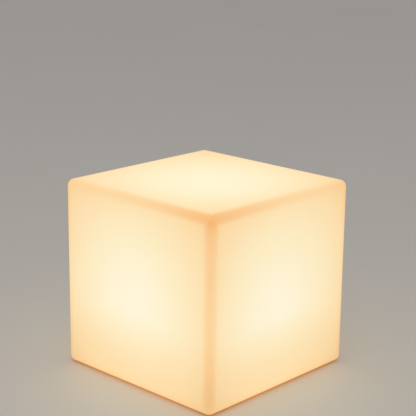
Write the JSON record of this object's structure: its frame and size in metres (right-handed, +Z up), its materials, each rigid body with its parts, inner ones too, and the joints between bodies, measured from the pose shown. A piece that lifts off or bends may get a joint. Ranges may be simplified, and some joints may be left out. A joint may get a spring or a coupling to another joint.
{
  "type": "floating cube light",
  "caption": "Cube-shaped diffuser with rounded edges, lit from a sealed light module in its base, with a push button and a flap-covered charging port underneath.",
  "frame": {"origin": "middle of the underside, on the plane that the feet stand on", "axes": "+Z up, the cube's faces square to X and Y; the charging port is at +X, -Y and the button at -X, -Y of the underside's middle"},
  "size_m": [0.2, 0.2, 0.194],
  "materials": {
    "shell_polyethylene": "translucent warm white, softly textured",
    "brass": "satin",
    "silicone_grey": "soft matt",
    "silicone_clear": "translucent matt",
    "cover_plastic": "fine spark texture",
    "key_plastic": "satin",
    "symbol_white": "satin",
    "screw_steel": "passivated",
    "retainer_nylon": "matt",
    "black_plastic": "matt",
    "plunger_red": "satin",
    "spring_steel": "bright",
    "tinned_metal": "tinned",
    "board_green": "solder mask",
    "led_board_white": "white solder mask on aluminium",
    "ferrite": "matt",
    "capacitor_can": "satin",
    "passive_ceramic": "matt",
    "connector_white": "satin",
    "led_package": "phosphor",
    "colour_led_package": "clear epoxy in a white frame",
    "clear_acrylic": "clear",
    "cell_wrap": "shrink wrap",
    "wire_red": "satin",
    "wire_black": "satin",
    "wire_white": "satin",
    "module_white": "reflective white",
    "spreader_aluminium": "satin",
    "dome_opal": "frosted opal"
  },
  "bodies": {
    "base": {"anti_slip_feet": "silicone_grey", "base_cover": "cover_plastic", "base_gasket": "silicone_clear", "battery_cell": "cell_wrap", "battery_clamp": "retainer_nylon", "battery_connectors": "connector_white", "battery_lead_black": "wire_black", "battery_lead_red": "wire_red", "board_passives": "passive_ceramic", "board_screws": "screw_steel", "button_membrane": "silicone_clear", "button_retainer": "retainer_nylon", "capacitor": "capacitor_can", "cell_tabs": "tinned_metal", "charge_pin": "brass", "charge_socket": "black_plastic", "clamp_ring": "module_white", "clamp_screws": "screw_steel", "colour_leds": "colour_led_package", "control_board": "board_green", "controller_chips": "black_plastic", "cover_screws": "screw_steel", "diffuser_shell": "shell_polyethylene", "dome_gasket": "silicone_clear", "dome_lens": "dome_opal", "flap_anchor": "silicone_grey", "heat_spreader": "spreader_aluminium", "inductor": "ferrite", "led_board": "led_board_white", "led_board_screws": "screw_steel", "led_leads": "wire_white", "light_pipe": "clear_acrylic", "module_housing": "module_white", "module_screws": "screw_steel", "remote_receiver": "black_plastic", "socket_seal": "silicone_clear", "socket_tabs": "tinned_metal", "status_led": "colour_led_package", "switch_body": "black_plastic", "switch_spring": "spring_steel", "threaded_inserts": "brass", "warm_white_leds": "led_package"},
    "key": {"power_button": "key_plastic", "power_symbol": "symbol_white"},
    "plunger": {"switch_plunger": "plunger_red"},
    "flap": {"port_flap": "silicone_grey"}
  },
  "joints": [
    {"name": "key_press", "type": "slide", "parent": "base", "child": "key", "axis": [0, 0, 1], "range_m": [0, 0.0015], "stiffness_N_per_m": 900, "springref_m": -0.0006},
    {"name": "plunger_slide", "type": "slide", "parent": "base", "child": "plunger", "axis": [0, 0, 1], "range_m": [0, 0.0015], "deforming": ["switch_spring"]},
    {"name": "flap_hinge", "type": "hinge", "parent": "base", "child": "flap", "pos_m": [0.017, -0.0005, 0.00475], "axis": [1, 0, 0], "range_deg": [0, 105]}
  ],
  "couplings": [
    {"joint": "plunger_slide", "follows": "key_press", "ratio": 1}
  ]
}
